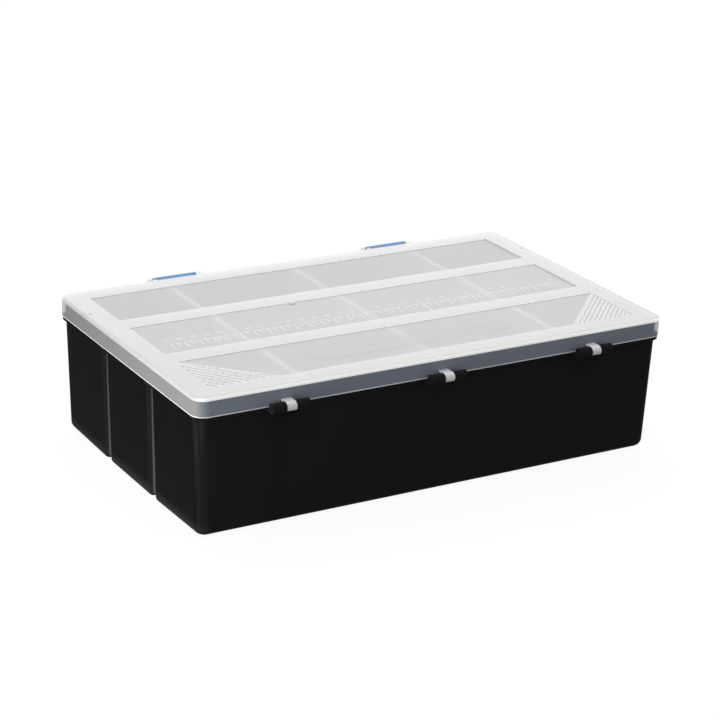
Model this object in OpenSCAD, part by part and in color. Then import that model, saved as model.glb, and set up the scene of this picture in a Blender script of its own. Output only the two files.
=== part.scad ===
// Deep compartment case for fishing tackle: one moulded tray with three long
// troughs, a frosted snap-on lid, two pivoting latches and nine loose dividers.
// X runs along the case, +Y is the hinge side, -Y the latch side, Z is up.
// The origin is the middle of the underside.

/* [Case] */
// Length over the closed lid
case_l = 353; // [330:1:400]
// Depth over the closed lid, without hinges and latches
case_w = 214; // [200:1:240]
// Height of the tray rim above the table
rim_h = 93.8; // [80:0.1:130]
// Corner radius of the lid seen from above
corner_r = 9; // [6:0.5:16]

/* [Tray] */
// Thickness of the trough walls
wall_t = 2; // [1.4:0.1:3]
// Thickness of the trough floors
floor_t = 2; // [1.4:0.1:3]
// How far the trough walls stand in from the lid's outline
tub_inset = 2.4; // [2.2:0.1:4]
// Slope of the tray's outer walls that lets it leave its mould, in degrees
draft = 1.4; // [0.5:0.1:2.5]
// Slope of the walls beside the slots, in degrees
slot_draft = 0.8; // [0.2:0.1:1.5]
// Radius of the rounded foot of each trough, smaller at the foot of a sharper corner
foot_r = 6; // [4:0.1:7]
// Radius of the tray's four upright outer corners
tub_r = 7.5; // [7:0.5:12]
// Radius of the upright corners beside the slots
slot_r = 4; // [3.5:0.5:6]
// Distance between the middles of the two slots
slot_pitch = 69.5; // [64:0.5:76]
// Width of a slot just below the flange
slot_w = 2; // [1.4:0.1:4]
// Thickness of the flange that the lid closes on
flange_t = 2.2; // [1.6:0.1:3]
// How far the flange stays inside the lid's outline
flange_inset = 0.5; // [0:0.1:1.5]

/* [Dividers] */
// Thickness of a divider
divider_t = 1.6; // [1.2:0.1:2.4]
// Width of the bead along a divider's upper edge
bead_w = 4.4; // [2.4:0.1:5]
// Height of that bead
bead_h = 2.2; // [1:0.1:3]
// Distance between two divider places
station_pitch = 32.5; // [28:0.5:36]
// Places from one divider to the next
stations_per_bay = 3; // [1:1:4]
// Divider places on each side of the middle one
side_stations = 4; // [3:1:4]
// Width of one guide rail
rail_w = 1.2; // [0.8:0.1:2]
// How far a guide rail stands out of the wall
rail_d = 1.5; // [1:0.1:2.5]
// Distance from the rim down to the top of the rails
rail_drop = 4; // [1:0.5:10]

/* [Lid] */
// Thickness of the lid's deck
deck_t = 1.9; // [1.5:0.1:3]
// Thickness of the lid's skirt
skirt_t = 1.6; // [1.2:0.1:1.7]
// Height of the lid from the lower edge of its skirt to the deck
lid_h = 13.3; // [11:0.1:18]
// Radius of the rounded edge between deck and skirt
edge_r = 2; // [1.8:0.1:4]
// Depth of the three clear windows
window_d = 1; // [0.4:0.1:1.2]
// Deck left beside the windows at the two ends
end_margin = 16.5; // [12:0.5:24]
// Deck left beside the windows along the two sides
side_margin = 14.5; // [10:0.5:18]
// Width of the two ribs between the windows
rib_w = 13.5; // [8:0.5:18]
// Leg of the frosted corner that closes each end of the hinge side window
corner_leg = 49; // [30:1:56]
// Depth of the shallow field sunk into each frosted corner
field_d = 0.4; // [0.2:0.1:0.8]
// How much shorter the legs of that field are
field_rim = 1.5; // [1:0.5:4]

/* [Hinges] */
// Distance from the middle hinge to the outer ones
hinge_pitch = 115; // [80:1:135]
// Distance of the hinge axis from the lid's rear face
hinge_out = 6; // [5.8:0.1:8]
// Diameter of a hinge knuckle
knuckle_d = 6.8; // [6.6:0.1:7.6]
// Length of a hinge knuckle
knuckle_l = 9.4; // [6:0.1:14]
// Diameter of the hinge pin
hinge_pin_d = 4; // [3:0.1:4.4]
// Width of the lid's hinge clip
clip_w = 6.8; // [5:0.1:10]
// Wall of the lid's hinge clip
clip_t = 1.1; // [0.8:0.1:1.4]
// Opening angle of the clips' mouths
mouth_angle = 100; // [70:5:130]

/* [Latches] */
// Distance of each latch from the middle of the case
latch_x = 86; // [60:1:110]
// Width of a latch
latch_w = 32; // [24:1:44]
// Diameter of the latch barrel
barrel_d = 6; // [5.4:0.1:7]
// Diameter of the latch pin
latch_pin_d = 3; // [2.4:0.1:3.4]
// Thickness of the latch plate
plate_t = 2.2; // [1.6:0.1:2.6]
// How far the latch axis lies below the deck
latch_axis_drop = 3.4; // [2:0.1:4.4]
// How far the lid's ledge stands out in front of the skirt
ledge_out = 2; // [1.4:0.1:5]
// Thickness of the ears at the ends of the latch pin
ear_t = 3.5; // [2.4:0.1:6]
// How far the hook reaches under the catch
hook_reach = 2.2; // [1.2:0.1:3]
// Thickness of the hook
hook_t = 2.6; // [2:0.1:4]
// Length of the finger pull below the hook
pull_l = 5; // [3:0.5:9]
// How far the finger pull bends out
pull_out = 2.4; // [1:0.1:4]

/* [Fits] */
// Gap between surfaces that move past each other
run_gap = 0.3; // [0.2:0.05:0.4]
// Gap all round a pin in its clip
pin_gap = 0.1; // [0.05:0.01:0.2]
// Gap around a loose divider
slip_gap = 0.2; // [0.1:0.05:0.3]
// Gap between the closed lid and the flange
lid_gap = 0.2; // [0.1:0.05:0.4]

/* [Hidden] */

$fn = 64;
hull_fn = 32;
overlap = 1;

// Heights, from the table up
deck_z = rim_h + run_gap;
top_z = deck_z + deck_t;
skirt_z = top_z - lid_h;
flange_top = skirt_z - lid_gap;
flange_z = flange_top - flange_t;
hinge_z = flange_z + knuckle_d / 2;
latch_z = top_z - latch_axis_drop;

// Places across the case
rear_y = case_w / 2;
hinge_y = rear_y + hinge_out;
latch_out = ledge_out + barrel_d / 2 + run_gap;
latch_y = -rear_y - latch_out;
plate_y = latch_y - barrel_d / 2;
lug_y = plate_y + plate_t + run_gap;
latch_block_w = latch_w + 2 * (run_gap + ear_t);
skirt_mid = skirt_t / 2;

// The three troughs from front to rear. Each has, for its front and its rear
// side, the place in Y at the flange, the upright corner radius and the slope.
tub_half_l = case_l / 2 - tub_inset;
tub_half_w = case_w / 2 - tub_inset;
slot_in = (slot_pitch - slot_w) / 2;
slot_out = (slot_pitch + slot_w) / 2;
TUBS = [
    [[-tub_half_w, tub_r, draft], [-slot_out, slot_r, slot_draft]],
    [[-slot_in, slot_r, slot_draft], [slot_in, slot_r, slot_draft]],
    [[slot_out, slot_r, slot_draft], [tub_half_w, tub_r, draft]]
];

// Inward shift at height z of a wall with a given slope
function lean(z, slope) = (flange_z - z) * tan(slope);

// Place in Y of a trough's side at height z, moved into the trough
function side_y(tub, side, z, inward) =
    tub[side][0] + (side == 0 ? 1 : -1) * (inward + lean(z, tub[side][2]));

// Radius of the rounded foot under a trough's side, outside or inside the wall
function foot_at(tub, side, inner) =
    min(foot_r - (inner > 0 ? floor_t : 0), tub[side][1] - inner);

// Points of an arc about c, from angle a to angle b
function arc(c, r, a, b, steps = 6) =
    [for (i = [0:steps]) c + r * [cos(a + (b - a) * i / steps), sin(a + (b - a) * i / steps)]];

// Rounded rectangle with true arcs
module rounded(l, w, r) {
    square([l - 2 * r, w], center = true);
    square([l, w - 2 * r], center = true);
    for (sx = [-1, 1], sy = [-1, 1])
        translate([sx * (l / 2 - r), sy * (w / 2 - r)]) circle(r);
}

// Round post with a rounded foot, standing on z = 0
module footed_post(r, foot) {
    rotate_extrude($fn = hull_fn)
        intersection() {
            translate([r - foot, foot]) circle(foot, $fn = hull_fn);
            square([r, foot]);
        }
}

// Solid drafted form of one trough. inner moves it in by the wall.
module tub_form(tub, inner, z0, z1) {
    hull()
        for (sx = [-1, 1], side = [0, 1], z = [z0, z1]) {
            r = tub[side][1] - inner;
            x = tub_half_l - inner - lean(z, draft) - r;
            translate([sx * x, side_y(tub, side, z, inner + r), z])
                if (z == z0) footed_post(r, foot_at(tub, side, inner));
                else cylinder(r = r, h = overlap / 10, $fn = hull_fn);
        }
}

// Guide rails along one wall of a trough, leaning with the wall
module rails(tub, side) {
    dir = side == 0 ? 1 : -1;
    rail_top = rim_h - rail_drop;
    rail_l = rail_top - floor_t - foot_r / 2;
    translate([0, side_y(tub, side, rail_top, wall_t), rail_top])
        rotate([dir * tub[side][2], 0, 0])
            mirror([0, 0, 1])
                linear_extrude(rail_l)
                    for (i = [-side_stations:side_stations], s = [-1, 1])
                        translate([
                            i * station_pitch + s * (divider_t / 2 + slip_gap + rail_w / 2),
                            dir * (rail_d - overlap) / 2
                        ])
                            square([rail_w, rail_d + overlap], center = true);
}

// Knuckles and pin of one hinge, moulded on the flange
module tray_hinge() {
    for (sx = [-1, 1])
        translate([sx * (clip_w / 2 + run_gap + knuckle_l / 2), 0, 0]) {
            translate([0, hinge_y, hinge_z])
                rotate([0, 90, 0]) cylinder(d = knuckle_d, h = knuckle_l, center = true);
            translate([-knuckle_l / 2, rear_y - flange_inset - overlap, flange_z])
                cube([knuckle_l, hinge_out + flange_inset + overlap, flange_t]);
        }
    translate([0, hinge_y, hinge_z])
        rotate([0, 90, 0]) cylinder(d = hinge_pin_d, h = clip_w + 2 * (run_gap + overlap), center = true);
}

// Lug of the flange that a latch hooks under
module catch_lug() {
    translate([-latch_block_w / 2, lug_y, flange_z])
        cube([latch_block_w, -rear_y + tub_inset - lug_y, flange_t]);
}

module tray() {
    color([0.09, 0.09, 0.1]) {
        difference() {
            union() {
                for (tub = TUBS)
                    tub_form(tub, 0, 0, flange_z + overlap);
                translate([0, 0, flange_z])
                    linear_extrude(rim_h - flange_z)
                        rounded(2 * tub_half_l, 2 * tub_half_w, tub_r);
                translate([0, 0, flange_z])
                    linear_extrude(flange_t)
                        rounded(case_l - 2 * flange_inset, case_w - 2 * flange_inset,
                            corner_r - flange_inset);
                for (sx = [-1, 1]) translate([sx * latch_x, 0, 0]) catch_lug();
            }
            for (tub = TUBS)
                tub_form(tub, wall_t, floor_t, rim_h + overlap);
            // slots cored up into the rim, closed at the top and at both ends
            for (sy = [-1, 1])
                translate([-tub_half_l + 2 * slot_r, sy * slot_pitch / 2 - slot_w / 2, flange_z - overlap])
                    cube([2 * tub_half_l - 4 * slot_r, slot_w, rim_h - wall_t - flange_z + overlap]);
        }
        for (tub = TUBS, side = [0, 1]) rails(tub, side);
        for (i = [-1:1]) translate([i * hinge_pitch, 0, 0]) tray_hinge();
    }
}

// Solid block with a rounded plan and a rounded top edge, standing on z = 0
module soft_block(l, w, r, h, e) {
    linear_extrude(h - e) rounded(l, w, r);
    translate([0, 0, h - e]) linear_extrude(e) rounded(l - 2 * e, w - 2 * e, r - e);
    for (s = [0, 1]) {
        run = s == 0 ? l - 2 * r : w - 2 * r;
        side = s == 0 ? w / 2 : l / 2;
        for (turn = [0, 180])
            rotate([0, 0, turn + s * 90])
                translate([-run / 2, -side + e, h - e])
                    rotate([90, 0, 90]) linear_extrude(run) quarter(e);
    }
    for (c = [[1, 1, 0], [-1, 1, 90], [-1, -1, 180], [1, -1, 270]])
        translate([c[0] * (l / 2 - r), c[1] * (w / 2 - r), h - e])
            rotate([0, 0, c[2]])
                rotate_extrude(angle = 90) translate([r - e, 0]) mirror([1, 0, 0]) quarter(e);
}

// Quarter disc that fills the corner towards -X and +Y
module quarter(e) {
    intersection() {
        circle(e);
        translate([-e, 0]) square(e);
    }
}

// Outline of a window between two heights in Y
module window(y0, y1) {
    half = case_l / 2 - end_margin;
    translate([-half, y0]) square([2 * half, y1 - y0]);
}

// Squares on their points over the outer corners of the hinge side window
module corner_squares(inset) {
    for (sx = [-1, 1])
        translate([sx * (case_l / 2 - end_margin), case_w / 2 - side_margin])
            rotate(45) square((corner_leg - inset) * sqrt(2), center = true);
}

// Windows sunk into the deck, the hinge side one with frosted corners
module windows() {
    outer = case_w / 2 - side_margin;
    inner = (slot_pitch + rib_w) / 2;
    window(-outer, -inner);
    window(-inner + rib_w, inner - rib_w);
    difference() {
        window(inner, outer);
        corner_squares(0);
    }
}

// Shallow fields in the frosted corners
module fields() {
    intersection() {
        window((slot_pitch + rib_w) / 2, case_w / 2 - side_margin);
        corner_squares(field_rim);
    }
}

// Wedge that opens the mouth of a ring lying along X
module mouth(r_out, w, mouth_dir) {
    rotate([90, 0, 90])
        translate([0, 0, -w / 2])
            linear_extrude(w)
                polygon(concat(
                    [[0, 0]],
                    [for (s = [-1, 0, 1]) 2 * r_out * [cos(mouth_dir + s * mouth_angle / 2),
                                                      sin(mouth_dir + s * mouth_angle / 2)]]
                ));
}

// Ring with a mouth, lying along X about the origin
module snap_ring(r_in, r_out, w, mouth_dir) {
    difference() {
        rotate([0, 90, 0]) cylinder(r = r_out, h = w, center = true);
        rotate([0, 90, 0]) cylinder(r = r_in, h = w + 2 * overlap, center = true);
        mouth(r_out, w + 2 * overlap, mouth_dir);
    }
}

// Strap and clip of one hinge, moulded on the skirt
module lid_hinge_clip() {
    r_in = hinge_pin_d / 2 + pin_gap;
    translate([0, hinge_y, hinge_z]) {
        snap_ring(r_in, r_in + clip_t, clip_w, 270);
        translate([-clip_w / 2, -hinge_out - skirt_mid, r_in])
            cube([clip_w, hinge_out + skirt_mid, clip_t]);
    }
}

// Ledge, ears and pin that carry one latch
module latch_seat() {
    ear_x = latch_w / 2 + run_gap;
    low_z = latch_z - barrel_d / 2;
    translate([-latch_block_w / 2, -rear_y - ledge_out, low_z])
        cube([latch_block_w, ledge_out + skirt_mid, top_z - low_z]);
    translate([-latch_block_w / 2, -rear_y, deck_z])
        cube([latch_block_w, edge_r + overlap, deck_t]);
    for (sx = [-1, 1])
        translate([sx * (ear_x + ear_t / 2), latch_y, latch_z]) {
            rotate([0, 90, 0]) cylinder(d = barrel_d, h = ear_t, center = true);
            translate([-ear_t / 2, 0, -barrel_d / 2])
                cube([ear_t, latch_out - ledge_out + overlap, barrel_d / 2 + latch_axis_drop]);
        }
    translate([0, latch_y, latch_z])
        rotate([0, 90, 0]) cylinder(d = latch_pin_d, h = 2 * (ear_x + overlap), center = true);
}

module lid() {
    color([0.86, 0.87, 0.88, 0.6]) {
        difference() {
            translate([0, 0, skirt_z]) soft_block(case_l, case_w, corner_r, lid_h, edge_r);
            translate([0, 0, skirt_z - overlap])
                linear_extrude(lid_h - deck_t + overlap)
                    rounded(case_l - 2 * skirt_t, case_w - 2 * skirt_t, corner_r - skirt_t);
            translate([0, 0, top_z - window_d]) linear_extrude(deck_t) windows();
            translate([0, 0, top_z - field_d]) linear_extrude(deck_t) fields();
        }
        for (i = [-1:1]) translate([i * hinge_pitch, 0, 0]) lid_hinge_clip();
        for (sx = [-1, 1]) translate([sx * latch_x, 0, 0]) latch_seat();
    }
}

// Side profile of a latch plate below its barrel, X of the profile along Y
module latch_profile() {
    inner = plate_t - barrel_d / 2;
    outer = -barrel_d / 2;
    hook_z = flange_z - run_gap - latch_z;
    low_z = hook_z - hook_t;
    hook_y = inner + run_gap + hook_reach;
    polygon([
        [outer, 0], [inner, 0], [inner, hook_z], [hook_y, hook_z],
        [hook_y, hook_z - hook_t / 3], [inner, low_z],
        [inner - pull_out, low_z - pull_l], [outer - pull_out, low_z - pull_l], [outer, low_z]
    ]);
}

// One latch about its own axis: barrel with a mouth, plate, hook and pull
module latch() {
    color([0.2, 0.45, 0.76])
        difference() {
            union() {
                translate([-latch_w / 2, 0, 0])
                    rotate([90, 0, 90]) linear_extrude(latch_w) latch_profile();
                rotate([0, 90, 0]) cylinder(d = barrel_d, h = latch_w, center = true);
            }
            rotate([0, 90, 0])
                cylinder(d = latch_pin_d + 2 * pin_gap, h = latch_w + 2 * overlap, center = true);
            mouth(barrel_d / 2, latch_w + 2 * overlap, -45);
        }
}

module latch_left() { translate([-latch_x, latch_y, latch_z]) latch(); }

module latch_right() { translate([latch_x, latch_y, latch_z]) latch(); }

// Outline of a trough's dividers: it follows the cavity with a slip gap
module divider_outline(tub) {
    low_z = floor_t + slip_gap;
    in = wall_t + slip_gap;
    turn = [for (side = [0, 1]) foot_at(tub, side, wall_t) + slip_gap];
    polygon(concat(
        [[side_y(tub, 0, rim_h, in), rim_h]],
        arc([side_y(tub, 0, low_z, in + turn[0]), low_z + turn[0]], turn[0], 180, 270),
        arc([side_y(tub, 1, low_z, in + turn[1]), low_z + turn[1]], turn[1], 270, 360),
        [[side_y(tub, 1, rim_h, in), rim_h]]
    ));
}

// Divider of one trough, with a bead that stiffens its upper edge
module divider(row, column) {
    tub = TUBS[row];
    bead_y = side_y(tub, 0, rim_h - bead_h, wall_t + slip_gap);
    bead_l = side_y(tub, 1, rim_h - bead_h, wall_t + slip_gap) - bead_y;
    color([0.88, 0.89, 0.9])
        translate([column * stations_per_bay * station_pitch, 0, 0]) {
            translate([-divider_t / 2, 0, 0])
                rotate([90, 0, 90]) linear_extrude(divider_t) divider_outline(tub);
            translate([-bead_w / 2, bead_y, rim_h - bead_h])
                cube([bead_w, bead_l, bead_h]);
        }
}

module divider_front_left() { divider(0, -1); }
module divider_front_centre() { divider(0, 0); }
module divider_front_right() { divider(0, 1); }
module divider_middle_left() { divider(1, -1); }
module divider_middle_centre() { divider(1, 0); }
module divider_middle_right() { divider(1, 1); }
module divider_rear_left() { divider(2, -1); }
module divider_rear_centre() { divider(2, 0); }
module divider_rear_right() { divider(2, 1); }

tray();
lid();
latch_left();
latch_right();
divider_front_left();
divider_front_centre();
divider_front_right();
divider_middle_left();
divider_middle_centre();
divider_middle_right();
divider_rear_left();
divider_rear_centre();
divider_rear_right();
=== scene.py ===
"""Looks of the fishing tackle box: its finishes, the lid's raised details, the stage and the camera."""

import math
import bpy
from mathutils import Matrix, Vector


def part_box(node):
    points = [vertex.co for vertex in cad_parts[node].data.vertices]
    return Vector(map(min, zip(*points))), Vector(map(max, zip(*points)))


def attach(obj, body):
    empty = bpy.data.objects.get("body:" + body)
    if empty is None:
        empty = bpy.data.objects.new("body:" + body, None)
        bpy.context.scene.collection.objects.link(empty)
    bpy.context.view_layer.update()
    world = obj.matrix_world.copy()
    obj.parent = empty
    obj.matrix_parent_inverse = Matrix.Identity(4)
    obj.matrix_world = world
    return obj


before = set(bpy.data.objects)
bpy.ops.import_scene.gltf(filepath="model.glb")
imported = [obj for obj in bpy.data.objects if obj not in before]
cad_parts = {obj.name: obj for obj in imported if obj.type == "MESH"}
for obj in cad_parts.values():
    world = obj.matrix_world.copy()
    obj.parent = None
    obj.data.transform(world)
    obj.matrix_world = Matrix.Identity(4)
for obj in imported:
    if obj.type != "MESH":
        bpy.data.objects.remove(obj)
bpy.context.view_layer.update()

from types import SimpleNamespace

import bmesh
import bpy
from bpy.props import FloatProperty, FloatVectorProperty, IntProperty, PointerProperty
from mathutils import Matrix, Vector

bl_info = {
    "name": "Fishing tackle box looks",
    "version": (1, 0, 0),
    "blender": (4, 5, 0),
    "location": "View3D > Sidebar > Tackle Box",
    "description": "Finishes the tray, lid, latches and dividers of a tackle box and sets its stage",
    "category": "Object",
}

LID_LOW, LID_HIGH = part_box("lid")
DIVIDERS = sorted(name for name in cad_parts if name.startswith("divider_"))
LATCHES = ("latch_left", "latch_right")

MM = 0.001
CM = 10 * MM
# Points that are closer than this are one point
TOUCHING = 0.001 * MM
# Raised details reach this far into the lid
SUNK = 0.05 * MM
# Masks on the lid change over these widths
SHARP = 0.1 * MM
CRISP = 0.2 * MM
# Height of the bumps at full strength
BUMP_DEPTH = 0.1 * MM
# Strength of reflections on the pale and blue plastics, and on the black one
SHEEN = 0.35
TRAY_SHEEN = 0.007
WHITE = (1, 1, 1, 1)
NO_LIGHT = (0, 0, 0, 1)
SENSOR_WIDTH = 36


# Sizes and colours that a user would change

class TraySizes(bpy.types.PropertyGroup):
    """Places on the tray where its finish, and the light and shade painted on it, change"""

    slot_y: FloatProperty(
        name="Slots", description="Distance of each slot from the middle",
        default=34.75 * MM, unit="LENGTH")
    slot_z: FloatProperty(
        name="Slot height", description="Height where the slots are narrowest",
        default=80 * MM, unit="LENGTH")
    slot_draft: FloatProperty(
        name="Slot slope", description="Slope of the walls beside the slots",
        default=math.radians(0.8), unit="ROTATION")
    # The pale lines down the slots are a painted highlight
    line_half: FloatProperty(
        name="Pale lines", description="Half the width of a pale line",
        default=1.5 * MM, unit="LENGTH")
    line_x: FloatProperty(
        name="Line start", description="Where the pale lines start along X",
        default=158 * MM, unit="LENGTH")
    line_z: FloatProperty(
        name="Line top", description="Height at which the pale lines end",
        default=79.5 * MM, unit="LENGTH")
    # The corners carry a painted highlight
    corner_x: FloatProperty(
        name="Corner X", description="Where the scuffed corners start along X",
        default=169 * MM, unit="LENGTH")
    corner_y: FloatProperty(
        name="Corner Y", description="Where the scuffed corners start along Y",
        default=98 * MM, unit="LENGTH")
    # The foot at both ends is painted lighter: painted light
    foot_x: FloatProperty(
        name="Foot X", description="Where the scuffed foot starts along X",
        default=164 * MM, unit="LENGTH")
    foot_z: FloatProperty(
        name="Foot height", description="Height of the scuffed foot",
        default=7 * MM, unit="LENGTH")
    # The end faces carry painted shade: they are painted darker than the rest of the tray
    face_x: FloatProperty(
        name="End faces", description="Where the darker end faces start along X",
        default=170 * MM, unit="LENGTH")
    face_gap: FloatProperty(
        name="Face gap", description="Distance of the end faces from the slots",
        default=4.5 * MM, unit="LENGTH")


class LidSizes(bpy.types.PropertyGroup):
    """Places of the lid's windows, sunk fields, walls and latch ledges"""

    case_l: FloatProperty(
        name="Lid length", description="Length of the lid along X",
        default=LID_HIGH.x - LID_LOW.x, unit="LENGTH")
    case_w: FloatProperty(
        name="Lid depth", description="Depth of the lid without hinges and latches",
        default=214 * MM, unit="LENGTH")
    corner_r: FloatProperty(
        name="Corner radius", description="Radius of the lid's upright corners",
        default=9 * MM, unit="LENGTH")
    # Painted shade covers the roundings and the walls at both ends over this width
    end_band: FloatProperty(
        name="End band", description="Width of the lid's duller ends",
        default=3 * MM, unit="LENGTH")
    edge_r: FloatProperty(
        name="Edge radius", description="Radius of the rounding round the deck",
        default=2 * MM, unit="LENGTH")
    skirt_t: FloatProperty(
        name="Skirt", description="Thickness of the lid's side walls",
        default=1.6 * MM, unit="LENGTH")
    skirt_z: FloatProperty(
        name="Skirt edge", description="Height of the skirt's lower edge",
        default=82.7 * MM, unit="LENGTH")
    skirt_drop: FloatProperty(
        name="Skirt start", description="How far below the deck the skirt starts",
        default=2.5 * MM, unit="LENGTH")
    lip_h: FloatProperty(
        name="Lip", description="Height of the clear lip along the skirt's lower edge",
        default=0.7 * MM, unit="LENGTH")
    top_z: FloatProperty(
        name="Deck height", description="Height of the deck above the table",
        default=LID_HIGH.z, unit="LENGTH")
    deck_t: FloatProperty(name="Deck", description="Thickness of the deck", default=1.9 * MM, unit="LENGTH")
    window_d: FloatProperty(
        name="Window depth", description="How far the windows lie below the deck",
        default=1 * MM, unit="LENGTH")
    field_d: FloatProperty(
        name="Field depth", description="How far the corner fields lie below the deck",
        default=0.4 * MM, unit="LENGTH")
    end_margin: FloatProperty(
        name="End margin", description="Deck beside the windows at both ends",
        default=16.5 * MM, unit="LENGTH")
    side_margin: FloatProperty(
        name="Side margin", description="Deck beside the windows along both sides",
        default=14.5 * MM, unit="LENGTH")
    corner_leg: FloatProperty(
        name="Corner leg", description="Leg of the frosted corners",
        default=49 * MM, unit="LENGTH")
    field_rim: FloatProperty(
        name="Field rim", description="How much shorter the legs of the fields are",
        default=1.5 * MM, unit="LENGTH")
    middle_half: FloatProperty(
        name="Middle window", description="Half the depth of the middle window",
        default=28 * MM, unit="LENGTH")
    # The front window carries painted shade
    front_gap: FloatProperty(
        name="Front gap", description="From the middle window to the dimmer front one",
        default=7 * MM, unit="LENGTH")
    latch_x: FloatProperty(
        name="Latches", description="Distance of each latch from the middle along X",
        default=86 * MM, unit="LENGTH")
    ledge_half: FloatProperty(
        name="Ledge", description="Half the length of a latch's ledge",
        default=16.4 * MM, unit="LENGTH")
    ledge_in: FloatProperty(
        name="Ledge depth", description="How far a ledge reaches into the lid",
        default=1.2 * MM, unit="LENGTH")
    proud: FloatProperty(
        name="Proud", description="How far out clips and ears start",
        default=0.3 * MM, unit="LENGTH")
    dot_x: FloatProperty(
        name="Dot X", description="Distance of the gate dots from the middle along X",
        default=172.5 * MM, unit="LENGTH")
    dot_y: FloatProperty(
        name="Dot Y", description="Place of the gate dots along Y",
        default=-61 * MM, unit="LENGTH")
    dot_r: FloatProperty(name="Dot", description="Radius of the gate dots", default=1.2 * MM, unit="LENGTH")


class RulerSizes(bpy.types.PropertyGroup):
    """The scale moulded in the middle window"""

    zero_x: FloatProperty(
        name="Zero", description="Place of the zero mark along X",
        default=-151.6 * MM, unit="LENGTH")
    base_y: FloatProperty(
        name="Base line", description="Place of the base line along Y",
        default=11.2 * MM, unit="LENGTH")
    marks: IntProperty(name="Centimetres", description="Number of whole centimetres", default=30)
    mark_l: FloatProperty(
        name="Mark", description="Length of a centimetre mark",
        default=9.6 * MM, unit="LENGTH")
    half_l: FloatProperty(
        name="Half mark", description="Length of a half centimetre mark",
        default=5.6 * MM, unit="LENGTH")
    fine_from: IntProperty(name="Fine from", description="Centimetre with the finer marks", default=26)
    fine_steps: IntProperty(name="Fine steps", description="Finer parts of that centimetre", default=4)
    line_w: FloatProperty(
        name="Line", description="Width of the raised lines",
        default=0.8 * MM, unit="LENGTH")
    rise: FloatProperty(
        name="Rise", description="Height of the raised lines",
        default=0.15 * MM, unit="LENGTH")
    digit_y: FloatProperty(
        name="Figure line", description="Place of the foot of the figures along Y",
        default=2.3 * MM, unit="LENGTH")
    digit_h: FloatProperty(
        name="Figure size", description="Type size of the figures",
        default=7.6 * MM, unit="LENGTH")
    digit_slim: FloatProperty(
        name="Figure width", description="Width of the figures, 1 for the type's own",
        default=0.62)
    line_edge: FloatProperty(
        name="Line rounding", description="Rounding of the raised lines",
        default=0.05 * MM, unit="LENGTH")
    mark_gap: FloatProperty(
        name="Mark gap", description="Gap between the marks and the base line",
        default=0.02 * MM, unit="LENGTH")


class FieldSizes(bpy.types.PropertyGroup):
    """Bars and scales in the corner fields, and the other raised parts of the lid"""

    gap: FloatProperty(
        name="Field gap", description="Gap between the carving and the field's edge",
        default=0.25 * MM, unit="LENGTH")
    bar_pitch: FloatProperty(
        name="Bar pitch", description="Distance between bars along the lid",
        default=4.15 * MM, unit="LENGTH")
    bar_w: FloatProperty(
        name="Bar width", description="Width of a bar along the lid",
        default=2.45 * MM, unit="LENGTH")
    bar_sunk: FloatProperty(
        name="Bar foot", description="How far the bars reach into the field's floor",
        default=0.03 * MM, unit="LENGTH")
    bar_edge: FloatProperty(
        name="Bar rounding", description="Rounding of the bars",
        default=0.15 * MM, unit="LENGTH")
    scale_x: FloatProperty(
        name="Scale pitch", description="Distance between scales in a row",
        default=5.6 * MM, unit="LENGTH")
    scale_y: FloatProperty(
        name="Scale row", description="Distance between rows of scales",
        default=3.45 * MM, unit="LENGTH")
    scale_r: FloatProperty(
        name="Scale radius", description="Radius of a scale",
        default=2.5 * MM, unit="LENGTH")
    scale_h: FloatProperty(
        name="Scale thickness", description="Thickness of a scale",
        default=0.5 * MM, unit="LENGTH")
    scale_sunk: FloatProperty(
        name="Scale middle", description="Depth of a scale's middle below the floor",
        default=0.08 * MM, unit="LENGTH")
    scale_edge: FloatProperty(
        name="Scale rounding", description="Rounding of a scale's rim",
        default=0.08 * MM, unit="LENGTH")
    scale_lean: FloatProperty(
        name="Scale lean", description="How far the scales lean over each other",
        default=math.radians(4.4), unit="ROTATION")
    first_x: FloatProperty(
        name="First scale X", description="Distance of the first scale from the end",
        default=1.2 * MM, unit="LENGTH")
    first_y: FloatProperty(
        name="First scale Y", description="Distance of the first row from the side",
        default=1.8 * MM, unit="LENGTH")
    plate_l: FloatProperty(
        name="Plate length", description="Length of the bare plate",
        default=145 * MM, unit="LENGTH")
    plate_w: FloatProperty(
        name="Plate depth", description="Depth of the bare plate",
        default=18.5 * MM, unit="LENGTH")
    plate_x: FloatProperty(
        name="Plate X", description="Middle of the bare plate along X",
        default=4 * MM, unit="LENGTH")
    plate_y: FloatProperty(
        name="Plate Y", description="Middle of the bare plate along Y",
        default=69.3 * MM, unit="LENGTH")
    plate_rise: FloatProperty(
        name="Plate rise", description="Height of the bare plate",
        default=0.5 * MM, unit="LENGTH")
    plate_edge: FloatProperty(
        name="Plate rounding", description="Rounding of the bare plate",
        default=0.2 * MM, unit="LENGTH")
    plate_slant: FloatProperty(
        name="Plate slant", description="Lean of the plate's short sides",
        default=math.radians(20), unit="ROTATION")
    tab_w: FloatProperty(
        name="Tab width", description="Width of the two small tabs",
        default=3.4 * MM, unit="LENGTH")
    tab_l: FloatProperty(
        name="Tab length", description="Reach of the tabs into the middle window",
        default=3.4 * MM, unit="LENGTH")
    tab_x: FloatProperty(
        name="Tab X", description="Distance of each tab from the middle of the lid",
        default=39.3 * MM, unit="LENGTH")
    tab_edge: FloatProperty(
        name="Tab rounding", description="Rounding of the tabs",
        default=0.3 * MM, unit="LENGTH")


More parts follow.
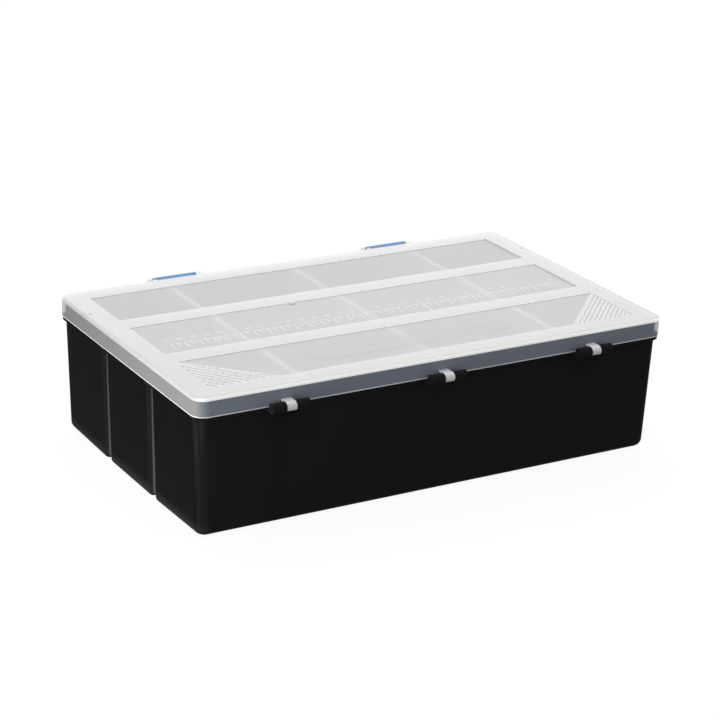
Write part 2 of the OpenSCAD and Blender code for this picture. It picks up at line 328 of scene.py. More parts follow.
class Finishes(bpy.types.PropertyGroup):
    """Colours of the mouldings, and the light and shade painted on them"""

    black: FloatVectorProperty(
        name="Tray", description="Black polypropylene", subtype="COLOR",
        size=4, min=0, max=1, default=(0.0145, 0.0145, 0.0145, 1))
    # Painted shade: the ends of the troughs are painted darker than the tray
    end_face: FloatVectorProperty(
        name="Tray ends", description="Ends of the troughs", subtype="COLOR",
        size=4, min=0, max=1, default=(0.002, 0.002, 0.002, 1))
    # Painted highlight on the upright corners of the tray
    scuffed: FloatVectorProperty(
        name="Scuffs", description="Rubbed corners of the tray", subtype="COLOR",
        size=4, min=0, max=1, default=(0.025, 0.025, 0.0245, 1))
    # Painted light on the foot at both ends
    foot: FloatVectorProperty(
        name="Foot", description="Rubbed foot of the tray", subtype="COLOR",
        size=4, min=0, max=1, default=(0.026, 0.026, 0.025, 1))
    # Painted highlight down the slots
    dusty: FloatVectorProperty(
        name="Slots", description="Pale lines down the slots", subtype="COLOR",
        size=4, min=0, max=1, default=(0.17, 0.17, 0.158, 1))
    frost: FloatVectorProperty(
        name="Lid", description="Frosted polypropylene", subtype="COLOR",
        size=4, min=0, max=1, default=(0.86, 0.851, 0.838, 1))
    cloudy: FloatVectorProperty(
        name="Clouds", description="Cloudier patches of the deck", subtype="COLOR",
        size=4, min=0, max=1, default=(0.80, 0.80, 0.80, 1))
    clear: FloatVectorProperty(
        name="Windows", description="Thinner, clearer polypropylene", subtype="COLOR",
        size=4, min=0, max=1, default=(0.82, 0.816, 0.834, 1))
    # Painted light: the window walls are painted lighter than the deck, against their shade
    step: FloatVectorProperty(
        name="Window walls", description="Walls round the windows", subtype="COLOR",
        size=4, min=0, max=1, default=(0.95, 0.95, 0.95, 1))
    # Painted shade on the rounding at both ends
    end_edge: FloatVectorProperty(
        name="End edges", description="Rounding at both ends", subtype="COLOR",
        size=4, min=0, max=1, default=(0.75, 0.743, 0.73, 1))
    # Painted shade with a cool tint: the long walls are painted darker than the deck
    skirt: FloatVectorProperty(
        name="Skirt", description="Long side walls of the lid", subtype="COLOR",
        size=4, min=0, max=1, default=(0.45, 0.505, 0.59, 1))
    # Painted shade: the short walls are painted darker than the deck
    skirt_end: FloatVectorProperty(
        name="Skirt ends", description="Short walls of the lid", subtype="COLOR",
        size=4, min=0, max=1, default=(0.55, 0.55, 0.55, 1))
    # Painted glow: edges and window walls that face the hinges give off light of their own
    glow: FloatVectorProperty(
        name="Glow", description="Light scattered towards the hinges", subtype="COLOR",
        size=4, min=0, max=1, default=(0.44, 0.44, 0.43, 1))
    dots: FloatVectorProperty(
        name="Dots", description="Gate dots of the lid", subtype="COLOR",
        size=4, min=0, max=1, default=(0.42, 0.42, 0.44, 1))
    lines: FloatVectorProperty(
        name="Ruler", description="Raised lines and figures", subtype="COLOR",
        size=4, min=0, max=1, default=(0.91, 0.905, 0.895, 1))
    carving: FloatVectorProperty(
        name="Carving", description="Bars and scales", subtype="COLOR",
        size=4, min=0, max=1, default=(0.78, 0.773, 0.76, 1))
    tabs: FloatVectorProperty(
        name="Tabs", description="Tabs of the middle window", subtype="COLOR",
        size=4, min=0, max=1, default=(0.88, 0.88, 0.88, 1))
    blue: FloatVectorProperty(
        name="Latches", description="Blue of the latches", subtype="COLOR",
        size=4, min=0, max=1, default=(0.036, 0.222, 0.545, 1))
    natural: FloatVectorProperty(
        name="Dividers", description="Natural polypropylene", subtype="COLOR",
        size=4, min=0, max=1, default=(0.84, 0.84, 0.84, 1))


class Opacities(bpy.types.PropertyGroup):
    """How much each part of the lid hides of what lies behind it"""

    deck: FloatProperty(name="Deck", description="Frosted deck", default=0.88, subtype="FACTOR")
    field: FloatProperty(
        name="Fields", description="Floor of the corner fields", default=0.80, subtype="FACTOR")
    window: FloatProperty(name="Windows", description="Clearer windows", default=0.72, subtype="FACTOR")
    skirt: FloatProperty(name="Skirt", description="Side walls", default=0.50, subtype="FACTOR")
    inner: FloatProperty(
        name="Inner faces", description="Faces inside the lid", default=0.10, subtype="FACTOR")
    ear: FloatProperty(name="Ears", description="Ears that hold the latches", default=0.25, subtype="FACTOR")
    ledge: FloatProperty(
        name="Ledges", description="Ledges above the latches", default=0.12, subtype="FACTOR")
    lines: FloatProperty(
        name="Ruler", description="Raised lines and figures", default=0.95, subtype="FACTOR")
    plate: FloatProperty(name="Plate", description="Bare plate", default=0.10, subtype="FACTOR")
    tabs: FloatProperty(
        name="Tabs", description="Tabs of the middle window", default=0.85, subtype="FACTOR")


class StageSettings(bpy.types.PropertyGroup):
    """Camera, light and floor"""

    azimuth: FloatProperty(
        name="Azimuth", description="Direction of the camera round the case",
        default=math.radians(149.373), unit="ROTATION")
    elevation: FloatProperty(
        name="Elevation", description="Height of the camera as an angle",
        default=math.radians(20.714), unit="ROTATION")
    roll: FloatProperty(
        name="Roll", description="Roll of the camera about its view",
        default=math.radians(1.962), unit="ROTATION")
    distance: FloatProperty(
        name="Distance", description="Distance of the camera from what it looks at",
        default=1592.309 * MM, unit="LENGTH")
    look_at: FloatVectorProperty(
        name="Look at", description="Point that the camera looks at",
        subtype="TRANSLATION", default=(-9.587 * MM, -14.824 * MM, 50 * MM))
    lens: FloatProperty(
        name="Lens", description="Focal length in millimetres on a 36 mm sensor",
        default=114.759)
    ambient: FloatVectorProperty(
        name="Ambient", description="Cool light from all round", subtype="COLOR",
        size=4, min=0, max=1, default=(0.60, 0.61, 0.62, 1))
    warm: FloatVectorProperty(
        name="Lamps", description="Colour of both lamps", subtype="COLOR",
        min=0, max=1, default=(1.0, 0.985, 0.965))
    top_place: FloatVectorProperty(
        name="Top light place", description="Place of the light above the case",
        subtype="TRANSLATION", default=(-0.25, -0.8, 1.0))
    top_target: FloatVectorProperty(
        name="Top light target", description="Point that the top light faces",
        subtype="TRANSLATION", default=(0, -0.05, 0.1))
    top_size: FloatProperty(
        name="Top light size", description="Side of the square top light",
        default=1.4, unit="LENGTH")
    top_power: FloatProperty(name="Top light", description="Power of the light above the case", default=10.5)
    side_place: FloatVectorProperty(
        name="Side light place", description="Place of the light at the end",
        subtype="TRANSLATION", default=(0.44, 0.13, 0.05))
    side_target: FloatVectorProperty(
        name="Side light target", description="Point that the side light faces",
        subtype="TRANSLATION", default=(0.17, 0.09, 0.06))
    side_width: FloatProperty(
        name="Side light width", description="Width of the side light",
        default=0.2, unit="LENGTH")
    side_height: FloatProperty(
        name="Side light height", description="Height of the side light",
        default=0.08, unit="LENGTH")
    side_power: FloatProperty(
        name="Side light", description="Power of the light at the end of the case",
        default=0.74)
    paper: FloatVectorProperty(
        name="Floor", description="Colour of the floor under the case",
        subtype="COLOR", size=4, min=0, max=1, default=(0.10, 0.10, 0.10, 1))
    paper_glow: FloatProperty(
        name="Floor glow", description="Brightness that the floor shows the camera",
        default=0.93)
    floor_half: FloatProperty(
        name="Floor size", description="Half the side of the floor",
        default=8, unit="LENGTH")
    floor_drop: FloatProperty(
        name="Floor drop", description="Gap between the case and the floor",
        default=0.2 * MM, unit="LENGTH")


# Shader nodes

class Socket:
    """An output of a shader node. Arithmetic on it adds Math nodes to its tree."""

    def __init__(self, tree, output=None):
        self.tree = tree
        self.output = output

    def node(self, kind, settings=None, inputs=None, output=0):
        """Adds a node: its settings are made first, then its sockets get values or links."""
        node = self.tree.nodes.new(kind)
        for name, value in (settings or {}).items():
            setattr(node, name, value)
        for name, value in (inputs or {}).items():
            if isinstance(value, Socket):
                self.tree.links.new(value.output, node.inputs[name])
            else:
                node.inputs[name].default_value = value
        return Socket(self.tree, node.outputs[output])

    def maths(self, operation, *values):
        return self.node("ShaderNodeMath", {"operation": operation}, dict(enumerate(values)))

    def __add__(self, other):
        return self.maths("ADD", self, other)

    def __sub__(self, other):
        return self.maths("SUBTRACT", self, other)

    def __rsub__(self, other):
        return self.maths("SUBTRACT", other, self)

    def __mul__(self, other):
        return self.maths("MULTIPLY", self, other)

    __radd__ = __add__
    __rmul__ = __mul__

    def size(self):
        return self.maths("ABSOLUTE", self)

    def root(self):
        return self.maths("SQRT", self)

    def at_least(self, limit):
        return self.maths("MAXIMUM", self, limit)

    def above(self, edge, soft):
        """0 below the edge and 1 above it, with a smooth step that is soft wide."""
        return self.node("ShaderNodeMapRange", {"interpolation_type": "SMOOTHSTEP"},
                         {"Value": self, "From Min": edge - soft / 2, "From Max": edge + soft / 2})

    def below(self, edge, soft):
        return 1 - self.above(edge, soft)

    def between(self, first, second):
        """Value that this mask moves from first to second."""
        return self * (second - first) + first

    def blend(self, first, second):
        """Colour that this mask moves from first to second."""
        return self.node("ShaderNodeMix", {"data_type": "RGBA"}, {0: self, 6: first, 7: second}, output=2)


def new_finish(name):
    """A material with an empty tree, and the socket class on that tree."""
    material = bpy.data.materials.new(name)
    material.use_nodes = True
    material.node_tree.nodes.clear()
    return material, Socket(material.node_tree)


def end_finish(shade, surface, kind="ShaderNodeOutputMaterial"):
    output = shade.tree.nodes.new(kind)
    shade.tree.links.new(surface.output, output.inputs["Surface"])


def end_plastic(shade, sockets):
    """Ends a finish with a plastic surface whose sockets get values or links."""
    end_finish(shade, shade.node("ShaderNodeBsdfPrincipled", {}, sockets))


def surface_place(shade):
    """Object coordinates of the surface, as a vector."""
    return shade.node("ShaderNodeTexCoord", output="Object")


def parts(vector):
    """The X, Y and Z parts of a vector."""
    split = vector.node("ShaderNodeSeparateXYZ", {}, {"Vector": vector})
    return [Socket(vector.tree, part) for part in split.output.node.outputs]


def facing_hinges(shade):
    """1 where the surface faces the hinge side."""
    facing = parts(shade.node("ShaderNodeTexCoord", output="Normal"))
    return facing[1].above(0.5, soft=0.6)


def noise(where, per_metre, stretch=(1, 1, 1)):
    """Soft random value from 0 to 1, drawn out along an axis whose stretch is below 1."""
    spread = where.node("ShaderNodeMapping", {}, {"Vector": where, "Scale": stretch})
    return where.node("ShaderNodeTexNoise", {}, {"Vector": spread, "Scale": per_metre, "Detail": 2})


def bump(height, strength):
    return height.node("ShaderNodeBump", {},
                       {"Height": height, "Strength": strength, "Distance": BUMP_DEPTH})


def scaled(colour, factor):
    """The same colour, brighter or darker."""
    return (*(part * factor for part in colour[:3]), 1)


def wear(node_name, material):
    """Gives a CAD node its finish."""
    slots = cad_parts[node_name].data.materials
    slots.clear()
    slots.append(material)


# Finishes

def tray_finish(colours, tray):
    """Black polypropylene: mould streaks, trough ends darkened by painted shade, and painted highlights on
    the corners and feet and as pale lines down the slots.
    """
    material, shade = new_finish("black_polypropylene")
    where = surface_place(shade)
    x, y, z = parts(where)
    mottle = noise(where, per_metre=24)
    streaks = noise(where, per_metre=70, stretch=(1, 1, 0.06))
    grain = noise(where, per_metre=1800)
    glint_streaks = noise(where, per_metre=330, stretch=(1, 1, 0.03))
    from_slot = (y.size() - tray.slot_y).size() - (tray.slot_z - z) * math.tan(tray.slot_draft)
    # Painted highlight: a pale line down each slot
    line = from_slot.below(tray.line_half, soft=0.8 * MM) * x.size().above(tray.line_x, soft=14 * MM)
    line = line * z.below(tray.line_z, soft=1.5 * MM)
    # Painted shade darkens the ends of the troughs
    face = x.size().above(tray.face_x, soft=8 * MM) * from_slot.above(tray.face_gap, soft=3 * MM)
    # Painted highlight on the upright corners, broken into upright streaks
    corner = x.size().above(tray.corner_x, soft=5 * MM) * y.size().above(tray.corner_y, soft=6 * MM)
    # Painted light: the foot at both ends is painted lighter
    foot = z.below(tray.foot_z, soft=8 * MM) * x.size().above(tray.foot_x, soft=6 * MM)
    body = (mottle * 0.6 + streaks * 0.4).blend(colours.black, scaled(colours.black, 1.4))
    body = face.blend(body, colours.end_face)
    body = (corner * glint_streaks.above(0.5, soft=0.5)).blend(body, colours.scuffed)
    body = foot.blend(body, colours.foot)
    end_plastic(shade, {
        "Base Color": line.blend(body, colours.dusty),
        "Roughness": mottle.between(0.36, 0.48),
        "Specular IOR Level": TRAY_SHEEN,
        "Normal": bump(grain + streaks * 2, strength=0.05),
    })
    return material


def lid_regions(lid, x, y, z):
    """Masks of the lid's regions. Each is 1 in its region and 0 elsewhere."""
    on = SimpleNamespace()
    past_x = (x.size() - (lid.case_l / 2 - lid.corner_r)).at_least(0)
    past_y = (y.size() - (lid.case_w / 2 - lid.corner_r)).at_least(0)
    reach = (past_x * past_x + past_y * past_y).root()
    # A frame 1 mm wider than the windows holds them, the fields and their walls
    framed = x.size().below(lid.case_l / 2 - lid.end_margin + 1 * MM, soft=CRISP)
    framed = framed * y.size().below(lid.case_w / 2 - lid.side_margin + 1 * MM, soft=CRISP)
    # Heights between the deck's underside, the floors of windows and fields, and the deck
    under_z = lid.top_z - lid.deck_t + 0.3 * MM
    window_z = lid.top_z - (lid.window_d + lid.field_d) / 2
    field_z = lid.top_z - lid.field_d / 2
    field_floor = (z - lid.top_z + lid.field_d).size().below(SHARP / 2, soft=0.02 * MM)
    on.inside = reach.below(lid.corner_r - lid.skirt_t / 2, soft=CRISP) * z.below(under_z, soft=SHARP)
    on.window = framed * z.above(under_z, soft=SHARP) * z.below(window_z, soft=SHARP)
    on.field = framed * z.above(window_z, soft=SHARP) * z.below(field_z, soft=SHARP)
    on.step = framed * z.above(lid.top_z - lid.window_d + SHARP, soft=SHARP)
    on.step = on.step * z.below(lid.top_z - SHARP, soft=SHARP) * (1 - field_floor)
    on.front = y.below(-lid.middle_half - lid.front_gap, soft=8 * MM)
    on.skirt = z.below(lid.top_z - lid.skirt_drop, soft=0.8 * MM)
    on.edge = reach.above(lid.corner_r - lid.edge_r, soft=1.2 * MM) * (1 - on.skirt)
    on.end = x.size().above(lid.case_l / 2 - lid.end_band, soft=4 * MM)
    on.lip = z.below(lid.skirt_z + lid.lip_h, soft=0.3 * MM)
    on.clip = y.above(lid.case_w / 2 + lid.proud, soft=SHARP)
    on.ear = y.below(-lid.case_w / 2 - lid.proud, soft=SHARP)
    on.ledge = y.below(-lid.case_w / 2 + lid.ledge_in, soft=0.4 * MM)
    on.ledge = on.ledge * (x.size() - lid.latch_x).size().below(lid.ledge_half, soft=CRISP)
    from_dot_x = x.size() - lid.dot_x
    from_dot_y = y - lid.dot_y
    from_dot = from_dot_x * from_dot_x + from_dot_y * from_dot_y
    on.dots = from_dot.below(lid.dot_r ** 2, soft=(1.3 * MM) ** 2) * z.above(field_z, soft=SHARP)
    return on


def lid_alpha(on, opacities):
    """How much the lid hides. A later region lies over the earlier ones."""
    alpha = on.window.between(on.field.between(opacities.deck, opacities.field), opacities.window)
    alpha = on.step.between(alpha, 1.0)
    alpha = on.skirt.between(alpha, on.lip.between(opacities.skirt, 1.0))
    alpha = on.inside.between(alpha, opacities.inner)
    alpha = on.clip.between(alpha, 1.0)
    alpha = on.ear.between(alpha, opacities.ear)
    return on.ledge.between(alpha, opacities.ledge)


def lid_finish(colours, opacities, lid):
    """Frosted polypropylene: clearer windows, a thin looking skirt, painted shade on the skirt, the end
    roundings and the front window, and a painted glow on edges and window walls that face the hinges.
    """
    material, shade = new_finish("frosted_polypropylene")
    where = surface_place(shade)
    on = lid_regions(lid, *parts(where))
    rear = facing_hinges(shade)
    mottle = noise(where, per_metre=45)
    flow = noise(where, per_metre=18, stretch=(0.3, 1, 1))
    grain = noise(where, per_metre=2600)
    deck = (flow * 0.5).blend(colours.frost, colours.cloudy)
    # Painted shade: the front window is painted 8% darker than the others
    top = on.window.blend(deck, on.front.blend(colours.clear, scaled(colours.clear, 0.92)))
    # Painted shade on the rounding at both ends, where it faces away from the hinges
    top = (on.edge * on.end * (1 - rear)).blend(top, colours.end_edge)
    # Painted shade on the skirt, cool on the long walls and grey on the short ones; the lip keeps the deck's
    # colour
    wall = on.lip.blend(on.end.blend(colours.skirt, colours.skirt_end), colours.frost)
    side = (on.clip + on.ear).blend(wall, colours.frost)
    body = on.dots.blend(on.skirt.blend(top, side), colours.dots)
    end_plastic(shade, {
        # Painted light: the window walls are painted lighter than the deck
        "Base Color": on.step.blend(body, colours.step),
        # Painted glow on the edges and window walls that face the hinges
        "Emission Color": (rear * (on.edge + on.step * 1.2)).blend(NO_LIGHT, colours.glow),
        "Emission Strength": 1.0,
        "Roughness": mottle.between(0.44, 0.50) - on.window * 0.06,
        "Alpha": lid_alpha(on, opacities),
        "Specular IOR Level": SHEEN,
        "Normal": bump(grain + mottle * 0.6, strength=0.10),
    })
    return material


def raised_finish(name, colour, alpha):
    """Polypropylene of a raised detail of the lid."""
    material, shade = new_finish(name)
    mottle = noise(surface_place(shade), per_metre=300)
    end_plastic(shade, {
        "Base Color": mottle.blend(colour, scaled(colour, 0.96)),
        "Roughness": mottle.between(0.40, 0.48),
        "Alpha": alpha,
        "Specular IOR Level": SHEEN,
        "Normal": bump(mottle, strength=0.08),
    })
    return material


def latch_finish(colours):
    """Blue plastic with a soft sheen."""
    material, shade = new_finish("blue_plastic")
    where = surface_place(shade)
    mottle = noise(where, per_metre=120)
    grain = noise(where, per_metre=2200)
    end_plastic(shade, {
        "Base Color": mottle.blend(colours.blue, scaled(colours.blue, 1.18)),
        "Roughness": mottle.between(0.36, 0.46),
        "Specular IOR Level": SHEEN,
        "Normal": bump(grain, strength=0.08),
    })
    return material


def divider_finish(colours):
    """Natural polypropylene, a little cloudy."""
    material, shade = new_finish("natural_polypropylene")
    where = surface_place(shade)
    mottle = noise(where, per_metre=60)
    flow = noise(where, per_metre=25, stretch=(1, 1, 0.2))
    grain = noise(where, per_metre=2400)
    end_plastic(shade, {
        "Base Color": (mottle * 0.5 + flow * 0.5).blend(colours.natural, scaled(colours.natural, 0.93)),
        "Roughness": mottle.between(0.38, 0.48),
        "Specular IOR Level": SHEEN,
        "Normal": bump(grain, strength=0.08),
    })
    return material


# New pieces and objects

def add_object(name, data):
    """Puts a mesh, a lamp or a camera into the scene."""
    thing = bpy.data.objects.new(name, data)
    bpy.context.scene.collection.objects.link(thing)
    return thing


def add_mesh(name, shape, material):
    """Makes an object at the origin from a bmesh."""
    mesh = bpy.data.meshes.new(name)
    shape.to_mesh(mesh)
    shape.free()
    mesh.materials.append(material)
    return add_object(name, mesh)


def add_piece(name, shape, material, body="lid"):
    """Makes a piece of the tackle box from a bmesh, and lets it ride on a body."""
    bmesh.ops.remove_doubles(shape, verts=shape.verts, dist=TOUCHING)
    bmesh.ops.recalc_face_normals(shape, faces=shape.faces)
    piece = add_mesh(name, shape, material)
    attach(piece, body)


def round_edges(shape, edges, width, segments=2):
    bmesh.ops.bevel(shape, geom=list(edges), offset=width, affect="EDGES", segments=segments,
                    profile=0.5, material=-1)


def edges_among(points):
    """The edges that have both of their ends among some points."""
    return {edge for point in points for edge in point.link_edges if edge.other_vert(point) in points}


def add_block(shape, low, high, turn=0.0, rounding=0.0):
    """Adds a box between two corners, turned about its own middle, with its upper edges rounded."""
    middle = (Vector(low) + Vector(high)) / 2
    size = Vector(high) - Vector(low)
    place = Matrix.Translation(middle) @ Matrix.Rotation(turn, 4, "Z") @ Matrix.Diagonal((*size, 1))
    corners = bmesh.ops.create_cube(shape, size=1, matrix=place)["verts"]
    if rounding:
        upper = [corner for corner in corners if corner.co.z > middle.z]
        round_edges(shape, edges_among(upper), rounding)


def trim(shape, point, outward):
    """Cuts away what lies beyond a plane, and closes the cut."""
    geometry = [*shape.verts, *shape.edges, *shape.faces]
    bmesh.ops.bisect_plane(shape, geom=geometry, dist=TOUCHING, plane_co=point, plane_no=outward,
                           clear_outer=True)
    bmesh.ops.holes_fill(shape, edges=[edge for edge in shape.edges if edge.is_boundary], sides=0)


def corner_field(lid, side, gap):
    """Corner of the field at one end of the lid, its legs and its floor, with a gap all round."""
    corner_x = lid.case_l / 2 - lid.end_margin - gap
    corner_y = lid.case_w / 2 - lid.side_margin - gap
    leg = lid.corner_leg - lid.field_rim - gap * (2 + math.sqrt(2))
    return Vector((side * corner_x, corner_y, 0)), leg, lid.top_z - lid.field_d


def trim_to_field(shape, corner, leg, side):
    """Cuts a shape to the triangle of a corner field."""
    trim(shape, corner, (side, 0, 0))
    trim(shape, corner, (0, 1, 0))
    trim(shape, corner - Vector((0, leg, 0)), (-side, -1, 0))


class TACKLE_OT_tray(bpy.types.Operator):
    """Finish the tray in black polypropylene"""

    bl_idname = "tackle.tray"
    bl_label = "Finish tray"

    def execute(self, context):
        wear("tray", tray_finish(context.scene.tackle_finishes, context.scene.tackle_tray))
        return {"FINISHED"}


class TACKLE_OT_lid(bpy.types.Operator):
    """Finish the lid in frosted polypropylene"""

    bl_idname = "tackle.lid"
    bl_label = "Finish lid"

    def execute(self, context):
        scene = context.scene
        wear("lid", lid_finish(scene.tackle_finishes, scene.tackle_opacities, scene.tackle_lid))
        return {"FINISHED"}


class TACKLE_OT_latches(bpy.types.Operator):
    """Finish both latches in blue plastic"""

    bl_idname = "tackle.latches"
    bl_label = "Finish latches"

    def execute(self, context):
        material = latch_finish(context.scene.tackle_finishes)
        for name in LATCHES:
            wear(name, material)
        return {"FINISHED"}


class TACKLE_OT_dividers(bpy.types.Operator):
    """Finish the dividers in natural polypropylene"""

    bl_idname = "tackle.dividers"
    bl_label = "Finish dividers"

    def execute(self, context):
        material = divider_finish(context.scene.tackle_finishes)
        for name in DIVIDERS:
            wear(name, material)
        return {"FINISHED"}


class TACKLE_OT_ruler(bpy.types.Operator):
    """Raise the centimetre scale and its figures in the middle window"""

    bl_idname = "tackle.ruler"
    bl_label = "Make ruler"

    def execute(self, context):
        scene = context.scene
        ruler, lid = scene.tackle_ruler, scene.tackle_lid
        material = raised_finish("raised_lines", scene.tackle_finishes.lines, scene.tackle_opacities.lines)
        low = lid.top_z - lid.window_d - SUNK
        high = low + ruler.rise
        add_piece("ruler_marks", self.marks(ruler, low, high), material)
        add_piece("ruler_figures", self.figures(ruler, low, high), material)
        return {"FINISHED"}

    def marks(self, ruler, low, high):
        """The base line, a mark at each half centimetre, and the finer marks of one centimetre."""
        half_w = ruler.line_w / 2
        shape = bmesh.new()
        end_x = ruler.zero_x + ruler.marks * CM
        add_block(shape, (ruler.zero_x - half_w, ruler.base_y - half_w, low),
                  (end_x + half_w, ruler.base_y + half_w, high), rounding=ruler.line_edge)
        places = [(step / 2, ruler.half_l if step % 2 else ruler.mark_l)
                  for step in range(2 * ruler.marks + 1)]
        places += [(ruler.fine_from + step / ruler.fine_steps, ruler.mark_l)
                   for step in range(1, ruler.fine_steps) if step * 2 != ruler.fine_steps]
        for centimetres, length in places:
            x = ruler.zero_x + centimetres * CM
            add_block(shape, (x - half_w, ruler.base_y + half_w + ruler.mark_gap, low),
                      (x + half_w, ruler.base_y + length, high), rounding=ruler.line_edge)
        return shape

    def figures(self, ruler, low, high):
        """Raised figures from 0 to the last whole centimetre, read from the latch side."""
        shape = bmesh.new()
        for number in range(ruler.marks + 1):
            curve = bpy.data.curves.new("figure", "FONT")
            curve.body = str(number)
            curve.align_x = "CENTER"
            curve.size = ruler.digit_h
            curve.extrude = (high - low) / 2
            curve.resolution_u = 3
            letter = bpy.data.objects.new("figure", curve)
            mesh = bpy.data.meshes.new_from_object(letter)
            x = ruler.zero_x + number * CM
            mesh.transform(Matrix.Translation((x, ruler.digit_y, (low + high) / 2))
                           @ Matrix.Diagonal((ruler.digit_slim, 1, 1, 1)))
            shape.from_mesh(mesh)
            bpy.data.objects.remove(letter)
            bpy.data.curves.remove(curve)
            bpy.data.meshes.remove(mesh)
        return shape


class TACKLE_OT_corners(bpy.types.Operator):
    """Fill the two corner fields, one with slanting bars and one with rounded scales"""

    bl_idname = "tackle.corners"
    bl_label = "Carve corners"

    def execute(self, context):
        lid, sizes = context.scene.tackle_lid, context.scene.tackle_fields
        material = raised_finish("raised_carving", context.scene.tackle_finishes.carving, 1.0)
        add_piece("corner_bars", self.bars(lid, sizes, side=-1), material)
        add_piece("corner_scales", self.scales(lid, sizes, side=1), material)
        return {"FINISHED"}

    def bars(self, lid, sizes, side):
        """Bars that run along the field's slanting side."""
        corner, leg, floor = corner_field(lid, side, sizes.gap)
        shape = bmesh.new()
        across = Vector((-side, -1, 0)).normalized()
        half_w = sizes.bar_w / math.sqrt(2) / 2
        reach = leg * 0.8
        for step in range(int(leg / sizes.bar_pitch) + 1):
            middle = corner + across * ((leg - sizes.bar_w / 2 - step * sizes.bar_pitch) / math.sqrt(2))
            add_block(shape, middle + Vector((-reach, -half_w, floor - sizes.bar_sunk)),
                      middle + Vector((reach, half_w, lid.top_z - SUNK)),
                      turn=-side * math.radians(45), rounding=sizes.bar_edge)
        trim_to_field(shape, corner, leg, side)
        return shape

    def scales(self, lid, sizes, side):
        """Rows of round scales, each lying over the row on its hinge side."""
        corner, leg, floor = corner_field(lid, side, sizes.gap)
        shape = bmesh.new()
        lean = Matrix.Rotation(sizes.scale_lean, 4, "X")
        for row in range(int(leg / sizes.scale_y) + 1):
            y = corner.y - sizes.first_y - row * sizes.scale_y
            shift = sizes.scale_x / 2 if row % 2 else 0
            for column in range(int(leg / sizes.scale_x) + 2):
                x = corner.x - sizes.first_x - shift - column * sizes.scale_x
                if corner.x - x + corner.y - y > leg + sizes.scale_r:
                    continue
                place = Matrix.Translation((x, y, floor - sizes.scale_sunk)) @ lean
                self.add_scale(shape, sizes, place)
        trim_to_field(shape, corner, leg, side)
        return shape

    def add_scale(self, shape, sizes, place):
        """Adds one round scale with the rim of its upper face rounded."""
        points = bmesh.ops.create_cone(shape, cap_ends=True, segments=16, radius1=sizes.scale_r,
                                       radius2=sizes.scale_r, depth=sizes.scale_h, matrix=place)["verts"]
        upright = place.inverted()
        upper = sorted(points, key=lambda point: (upright @ point.co).z)[len(points) // 2:]
        round_edges(shape, edges_among(upper), sizes.scale_edge, segments=1)


class TACKLE_OT_plate(bpy.types.Operator):
    """Raise the bare plate in the hinge side window and the two tabs in the middle one"""

    bl_idname = "tackle.plate"
    bl_label = "Make plate and tabs"

    def execute(self, context):
        lid, sizes = context.scene.tackle_lid, context.scene.tackle_fields
        colours, opacities = context.scene.tackle_finishes, context.scene.tackle_opacities
        floor = lid.top_z - lid.window_d
        add_piece("bare_plate", self.plate(sizes, floor),
                  raised_finish("raised_plate", colours.clear, opacities.plate))
        add_piece("window_tabs", self.tabs(lid, sizes, floor),
                  raised_finish("raised_tabs", colours.tabs, opacities.tabs))
        return {"FINISHED"}

    def plate(self, sizes, floor):
        """A flat plate with slanting short sides."""
        half_l, half_w = sizes.plate_l / 2, sizes.plate_w / 2
        shape = bmesh.new()
        add_block(shape, (-half_l, -half_w, -SUNK), (half_l, half_w, sizes.plate_rise))
        round_edges(shape, shape.edges, sizes.plate_edge)
        slant = Matrix.Identity(4)
        slant[0][1] = -math.tan(sizes.plate_slant)
        place = Matrix.Translation((sizes.plate_x, sizes.plate_y, floor)) @ slant
        bmesh.ops.transform(shape, matrix=place, verts=shape.verts)
        return shape

    def tabs(self, lid, sizes, floor):
        """Two tabs that reach into the middle window from its opposite sides."""
        shape = bmesh.new()
        for side in (1, -1):
            x = side * sizes.tab_x
            ends = sorted((-side * (lid.middle_half + SUNK), -side * (lid.middle_half - sizes.tab_l)))
            add_block(shape, (x - sizes.tab_w / 2, ends[0], floor - SUNK),
                      (x + sizes.tab_w / 2, ends[1], lid.top_z - SUNK), rounding=sizes.tab_edge)
        return shape


# Stage

def seen_directly(shade):
    """1 for rays from the camera, a mirror or a clear pane, and 0 for light falling on the object."""
    path = shade.node("ShaderNodeLightPath", output="Is Camera Ray")
    node = path.output.node
    glossy = Socket(shade.tree, node.outputs["Is Glossy Ray"])
    through = Socket(shade.tree, node.outputs["Is Transmission Ray"])
    return path.maths("MAXIMUM", path, glossy.maths("MAXIMUM", glossy, through))


def make_floor(stage):
    material, shade = new_finish("pale_floor")
    paper = shade.node("ShaderNodeBsdfDiffuse", {}, {"Color": stage.paper})
    glow = shade.node("ShaderNodeEmission", {},
                      {"Color": WHITE, "Strength": seen_directly(shade) * stage.paper_glow})
    end_finish(shade, shade.node("ShaderNodeAddShader", {}, {0: paper, 1: glow}))
    shape = bmesh.new()
    bmesh.ops.create_grid(shape, x_segments=1, y_segments=1, size=stage.floor_half)
    bmesh.ops.translate(shape, verts=shape.verts, vec=(0, 0, -stage.floor_drop))
    floor = add_mesh("floor", shape, material)


def make_world(scene):
    world = bpy.data.worlds.new("studio")
    world.use_nodes = True
    world.node_tree.nodes.clear()
    shade = Socket(world.node_tree)
    colour = seen_directly(shade).blend(scene.tackle_stage.ambient, WHITE)
    sky = shade.node("ShaderNodeBackground", {}, {"Color": colour, "Strength": 1.0})
    end_finish(shade, sky, "ShaderNodeOutputWorld")
    scene.world = world


def add_softbox(name, place, target, width, height, power, colour):
    """A rectangular lamp that faces a point."""
    lamp = bpy.data.lights.new(name, "AREA")
    lamp.shape = "RECTANGLE"
    lamp.size = width
    lamp.size_y = height
    lamp.energy = power
    lamp.color = colour
    softbox = add_object(name, lamp)
    softbox.location = place
    softbox.rotation_euler = (Vector(target) - Vector(place)).to_track_quat("-Z", "Y").to_euler()


def make_lamps(stage):
    add_softbox("top_light", stage.top_place, stage.top_target, stage.top_size, stage.top_size,
                stage.top_power, stage.warm)
    add_softbox("side_light", stage.side_place, stage.side_target, stage.side_width, stage.side_height,
                stage.side_power, stage.warm)


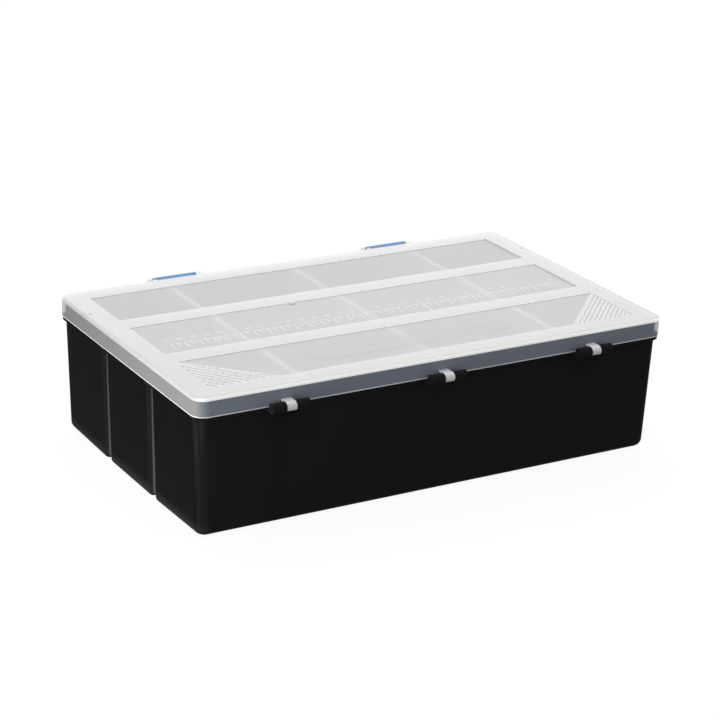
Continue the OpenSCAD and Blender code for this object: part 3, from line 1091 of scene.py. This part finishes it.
def make_camera(scene):
    stage = scene.tackle_stage
    turn, lift, roll = stage.azimuth, stage.elevation, stage.roll
    back = Vector((math.sin(turn) * math.cos(lift), -math.cos(turn) * math.cos(lift), math.sin(lift)))
    right = Vector((math.cos(turn), math.sin(turn), 0))
    up = back.cross(right)
    rolled_right = right * math.cos(roll) + up * math.sin(roll)
    rolled_up = up * math.cos(roll) - right * math.sin(roll)
    lens = bpy.data.cameras.new("camera")
    lens.lens = stage.lens
    lens.sensor_width = SENSOR_WIDTH
    camera = add_object("camera", lens)
    place = Matrix.Translation(Vector(stage.look_at) + back * stage.distance)
    camera.matrix_world = place @ Matrix((rolled_right, rolled_up, back)).transposed().to_4x4()
    scene.camera = camera


class TACKLE_OT_stage(bpy.types.Operator):
    """Lay the floor and set the light and the camera"""

    bl_idname = "tackle.stage"
    bl_label = "Set stage"

    def execute(self, context):
        scene = context.scene
        make_floor(scene.tackle_stage)
        make_world(scene)
        make_lamps(scene.tackle_stage)
        make_camera(scene)
        scene.view_settings.view_transform = "Standard"
        return {"FINISHED"}


class TACKLE_PT_panel(bpy.types.Panel):
    """Lists the steps of the tackle box's looks"""

    bl_label = "Tackle Box"
    bl_idname = "TACKLE_PT_panel"
    bl_space_type = "VIEW_3D"
    bl_region_type = "UI"
    bl_category = "Tackle Box"

    def draw(self, context):
        for step in STEPS:
            self.layout.operator(step.bl_idname)


STEPS = (TACKLE_OT_tray, TACKLE_OT_lid, TACKLE_OT_latches, TACKLE_OT_dividers, TACKLE_OT_ruler,
         TACKLE_OT_corners, TACKLE_OT_plate, TACKLE_OT_stage)
GROUPS = {"tackle_tray": TraySizes, "tackle_lid": LidSizes, "tackle_ruler": RulerSizes,
          "tackle_fields": FieldSizes, "tackle_finishes": Finishes, "tackle_opacities": Opacities,
          "tackle_stage": StageSettings}
CLASSES = (*GROUPS.values(), *STEPS, TACKLE_PT_panel)


def register():
    for each in CLASSES:
        bpy.utils.register_class(each)
    for name, group in GROUPS.items():
        setattr(bpy.types.Scene, name, PointerProperty(type=group))


def unregister():
    for name in GROUPS:
        delattr(bpy.types.Scene, name)
    for each in reversed(CLASSES):
        bpy.utils.unregister_class(each)


def main():
    register()
    for step in STEPS:
        group, call = step.bl_idname.split(".")
        getattr(getattr(bpy.ops, group), call)()
    bpy.context.view_layer.update()


if __name__ == "__main__":
    main()
